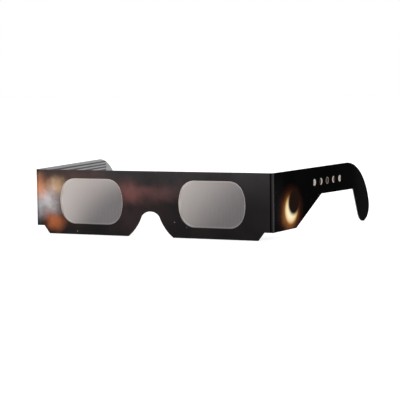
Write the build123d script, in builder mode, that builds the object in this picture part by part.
from build123d import *
import os
from math import atan2, cos, degrees, radians, sin, sqrt, tan

# Card eclipse glasses, standing open on their lower edges.
# One sheet of printed card is creased and folded. Its front ply, its back ply and the fold
# between them clamp two filter films, and its two ends are the temples.
# Millimetres, +Z up. The wearer looks along -Y, so the wearer's left side is +X.
# The origin is the middle of the footprint, on the surface that the glasses stand on.

# Sheet thicknesses
card = 0.4
film_thickness = 0.12
film_glue_thickness = 0.08

# The viewing windows, with bulged sides and wide corners
window_width = 39.5
window_height = 25.6
window_side_radius = 20.8
window_corner_radius = 8.5

# The bands of card round the windows, which set the front's size
bridge_width = 35.1
end_band = 16.35
top_band = 5.0
bottom_band = 6.2

# The tab at each end of the front, which carries a temple, and the slanted cut below it
tab_length = 5.2
tab_rise = 4.55
slant_run = 3.5
corner_radius = 0.6

# The nose notch in the bottom edge: a round crown between two bowed flanks
notch_width = 27.8
notch_height = 14.2
crown_radius = 6.9
crown_depth = 2.5
flank_bow = 1.05
shoulder_radius = 3.0

# The back ply, cut a little smaller so that it never shows past the front ply
back_end_margin = 0.5
back_bottom_margin = 0.5
back_notch_margin = 0.5
back_window_step = 0.6

# The filter films and the glue that holds each film to the front ply
film_side_overlap = 3.0
film_edge_overlap = 2.6
film_glue_margin = 0.5
film_glue_setback = 0.9

# The glue between the plies, around the films
glue_clearance = 0.6
bridge_glue_setback = 1.5

# The creases: the card bends round a soft score, with a short flat run each side of the bend
bend_radius = 1.6
bend_run = 0.6
splay = 5.8

# The temples: a deep root, a slanted cut, a straight arm and a hook that goes behind the ear
temple_length = 126.9
root_length = 26.7
root_slant_run = 32.6
arm_height = 16.2
arm_taper = 0.5
hook_outer_radius = 34.0
hook_tip_radius = 9.0
hook_lean = 24.8
root_corner_radius = 1.5
arm_corner_radius = 2.5
hook_corner_radius = 1.0

# The gap between the plies, and where the layers lie behind the front's outer face
ply_gap = film_glue_thickness + film_thickness
film_depth = card + film_glue_thickness
back_depth = card + ply_gap
fold_radius = (card + ply_gap + card) / 2

# The front's size, and the windows' places in it
front_width = bridge_width + 2 * (window_width + end_band)
front_height = bottom_band + window_height + top_band
window_from_centre = (bridge_width + window_width) / 2
window_rise = bottom_band + window_height / 2

# The films, which overlap the card all round the windows
film_width = window_width + 2 * film_side_overlap
film_height = window_height + 2 * film_edge_overlap
film_bottom = window_rise - film_height / 2
film_top = window_rise + film_height / 2
film_inner_end = window_from_centre - film_width / 2
film_outer_end = window_from_centre + film_width / 2

# The ends of the front, worked inwards from the crease
half_width = front_width / 2
hinge_x = half_width - bend_radius
tab_end = hinge_x - bend_run
slant_top = half_width - tab_length
slant_foot = slant_top - slant_run
back_half = slant_foot - back_end_margin

# The splayed temples set the depth, and the footprint is centred on the origin
lean_cos = cos(radians(splay))
lean_sin = sin(radians(splay))
inner_radius = bend_radius - card
depth = bend_radius - inner_radius * lean_sin + temple_length * lean_cos
front_y = -depth / 2
hinge_y = front_y + bend_radius

# The nose notch's shoulders, where the crown meets the flanks
shoulder_z = notch_height - crown_depth
shoulder_x = sqrt(crown_radius**2 - (crown_radius - crown_depth) ** 2)


def sheet_plane(behind):
    """An upright plane across the glasses, so far behind the front's outer face."""
    return Plane.XZ.offset(-(front_y + behind))


def temple_plane(sign):
    """The upright plane through a hinge line, along the splayed temple, facing +X."""
    return Plane(
        origin=(sign * hinge_x, hinge_y, 0),
        x_dir=(sign * lean_sin, lean_cos, 0),
        z_dir=(lean_cos, -sign * lean_sin, 0),
    )


def finish(piece, name):
    """Label a finished piece and write it."""
    piece.part.label = name
    export_step(piece.part, f"parts/{name}.step")


os.makedirs("parts", exist_ok=True)

# Window outline, round its own centre
with BuildSketch() as window:
    Rectangle(window_width, window_height)
    for sign in (-1, 1):
        with Locations((sign * (window_width / 2 - window_side_radius), 0)):
            Circle(window_side_radius, mode=Mode.INTERSECT)
    fillet(window.vertices(), radius=window_corner_radius)

with BuildSketch() as back_window:
    add(window.sketch)
    offset(amount=back_window_step)

with BuildSketch() as glue_window:
    add(window.sketch)
    offset(amount=film_glue_setback)

# Nose notch outline, standing on the bottom edge
with BuildSketch() as plain_notch:
    with BuildLine():
        crown = ThreePointArc(
            (-shoulder_x, shoulder_z), (0, notch_height), (shoulder_x, shoulder_z)
        )
        flank = SagittaArc(crown @ 1, (notch_width / 2, 0), -flank_bow)
        mirror(flank, about=Plane.YZ)
        Line((notch_width / 2, 0), (-notch_width / 2, 0))
    make_face()

with BuildSketch() as notch:
    add(plain_notch.sketch)
    fillet(notch.vertices().group_by(Axis.Y)[-1], radius=shoulder_radius)

with BuildSketch() as back_notch:
    add(plain_notch.sketch)
    offset(amount=back_notch_margin)

# Front ply, with its two end tabs
with BuildPart() as front_panel:
    with BuildSketch(sheet_plane(0)) as outline:
        with BuildLine():
            Polyline(
                (0, front_height - fold_radius),
                (back_half, front_height - fold_radius),
                (back_half, front_height),
                (tab_end, front_height),
                (tab_end, tab_rise),
                (slant_top, tab_rise),
                (slant_foot, 0),
                (0, 0),
            )
            mirror(about=Plane.YZ)
        make_face()
        add(notch.sketch, mode=Mode.SUBTRACT)
        fillet(outline.vertices().group_by(Axis.Y)[0], radius=corner_radius)
        with Locations((-window_from_centre, window_rise), (window_from_centre, window_rise)):
            add(window.sketch, mode=Mode.SUBTRACT)
    extrude(amount=-card)
finish(front_panel, "front_panel")

# Back ply, hanging from the fold
with BuildPart() as back_panel:
    with BuildSketch(sheet_plane(back_depth)) as outline:
        with Locations((0, back_bottom_margin)):
            Rectangle(
                2 * back_half,
                front_height - fold_radius - back_bottom_margin,
                align=(Align.CENTER, Align.MIN),
            )
        add(back_notch.sketch, mode=Mode.SUBTRACT)
        fillet(outline.vertices().group_by(Axis.Y)[0], radius=corner_radius)
        with Locations((-window_from_centre, window_rise), (window_from_centre, window_rise)):
            add(back_window.sketch, mode=Mode.SUBTRACT)
    extrude(amount=-card)
finish(back_panel, "back_panel")

# Rounded fold along the top edge, which joins the two plies
with BuildPart() as top_fold:
    with BuildSketch(Plane.YZ.offset(-back_half)):
        with Locations((front_y + fold_radius, front_height - fold_radius)):
            Circle(fold_radius)
            Circle(ply_gap / 2, mode=Mode.SUBTRACT)
            Rectangle(
                2 * fold_radius, fold_radius, align=(Align.CENTER, Align.MAX), mode=Mode.SUBTRACT
            )
    extrude(amount=2 * back_half)
finish(top_fold, "top_fold")

# Glue over the bridge, between the films and above the nose notch
bridge_foot = notch_height + bridge_glue_setback
with BuildPart() as bridge_glue:
    with BuildSketch(sheet_plane(card)):
        with Locations((0, bridge_foot)):
            Rectangle(
                2 * (film_inner_end - glue_clearance),
                film_top - bridge_foot,
                align=(Align.CENTER, Align.MIN),
            )
    extrude(amount=-ply_gap)
finish(bridge_glue, "bridge_glue")

# Outer face of the hook, tangent to the top edge, and the round tip inside it
tip_u = temple_length - hook_tip_radius
hook_z = front_height - hook_outer_radius
tip_above_hook = hook_tip_radius - hook_z
tip_from_hook = hook_outer_radius - hook_tip_radius
hook_u = tip_u - sqrt(tip_from_hook**2 - tip_above_hook**2)
hook_end_angle = degrees(atan2(tip_above_hook, tip_u - hook_u))
hook_inner_angle = 180 + hook_lean
arm_rise = front_height - arm_height
hook_inner_u = tip_u + hook_tip_radius * cos(radians(hook_inner_angle))
hook_inner_z = hook_tip_radius + hook_tip_radius * sin(radians(hook_inner_angle))
throat_u = hook_inner_u - (arm_rise - hook_inner_z) * tan(radians(hook_lean))

for side, sign in (("left", 1), ("right", -1)):
    # Filter film behind the window
    with BuildPart() as film:
        with BuildSketch(sheet_plane(film_depth)):
            with Locations((sign * window_from_centre, window_rise)):
                Rectangle(film_width, film_height)
        extrude(amount=-film_thickness)
    finish(film, f"{side}_filter_film")

    # Glue ring between the film and the front ply
    with BuildPart() as film_glue:
        with BuildSketch(sheet_plane(card)):
            with Locations((sign * window_from_centre, window_rise)):
                Rectangle(film_width - 2 * film_glue_margin, film_height - 2 * film_glue_margin)
                add(glue_window.sketch, mode=Mode.SUBTRACT)
        extrude(amount=-film_glue_thickness)
    finish(film_glue, f"{side}_film_glue")

    # Glue strip between the plies at the outer end
    with BuildPart() as end_glue:
        with BuildSketch(sheet_plane(card)):
            with Locations((sign * (film_outer_end + back_half) / 2, window_rise)):
                Rectangle(back_half - film_outer_end - 2 * glue_clearance, film_height)
        extrude(amount=-ply_gap)
    finish(end_glue, f"{side}_end_glue")

    # Glue strip between the plies under the film
    with BuildPart() as lower_glue:
        with BuildSketch(sheet_plane(card)):
            with Locations((sign * window_from_centre, (back_bottom_margin + film_bottom) / 2)):
                Rectangle(window_width, film_bottom - back_bottom_margin - 2 * glue_clearance)
        extrude(amount=-ply_gap)
    finish(lower_glue, f"{side}_lower_glue")

    # Creased strip from the front's end tab round the bend to the temple's root
    with BuildPart() as crease:
        with BuildSketch(Plane.XY.offset(tab_rise)):
            with BuildLine():
                tab_run = Line((sign * tab_end, front_y), (sign * hinge_x, front_y))
                bend = JernArc(tab_run @ 1, tab_run % 1, bend_radius, sign * (90 - splay))
                Line(bend @ 1, bend @ 1 + bend_run * (bend % 1))
                offset(amount=card, side=Side.LEFT if sign > 0 else Side.RIGHT)
            make_face()
        extrude(amount=front_height - tab_rise)
    finish(crease, f"{side}_crease")

    # Temple, cut from the same card
    with BuildPart() as temple:
        with BuildSketch(temple_plane(sign).offset(sign * inner_radius)):
            with BuildLine():
                Polyline((bend_run, tab_rise), (bend_run, front_height), (hook_u, front_height))
                CenterArc((hook_u, hook_z), hook_outer_radius, 90, hook_end_angle - 90)
                CenterArc(
                    (tip_u, hook_tip_radius),
                    hook_tip_radius,
                    hook_end_angle,
                    hook_inner_angle - 360 - hook_end_angle,
                )
                FilletPolyline(
                    (hook_inner_u, hook_inner_z),
                    (throat_u, arm_rise),
                    (root_length + root_slant_run, arm_rise + arm_taper),
                    (root_length, tab_rise),
                    (bend_run, tab_rise),
                    radius=(hook_corner_radius, arm_corner_radius, root_corner_radius),
                )
            make_face()
        extrude(amount=sign * card)
    finish(temple, f"{side}_temple")

print(f"front {front_width:.2f} wide, {front_height:.2f} high, whole depth {depth:.3f}")
print(f"hinge lines at x {hinge_x:.3f} either side, y {hinge_y:.3f}, front face at y {front_y:.3f}")
print(f"temple hook: throat at {throat_u:.2f}, tip centre at {tip_u:.2f}, outer arc from {hook_u:.2f}")
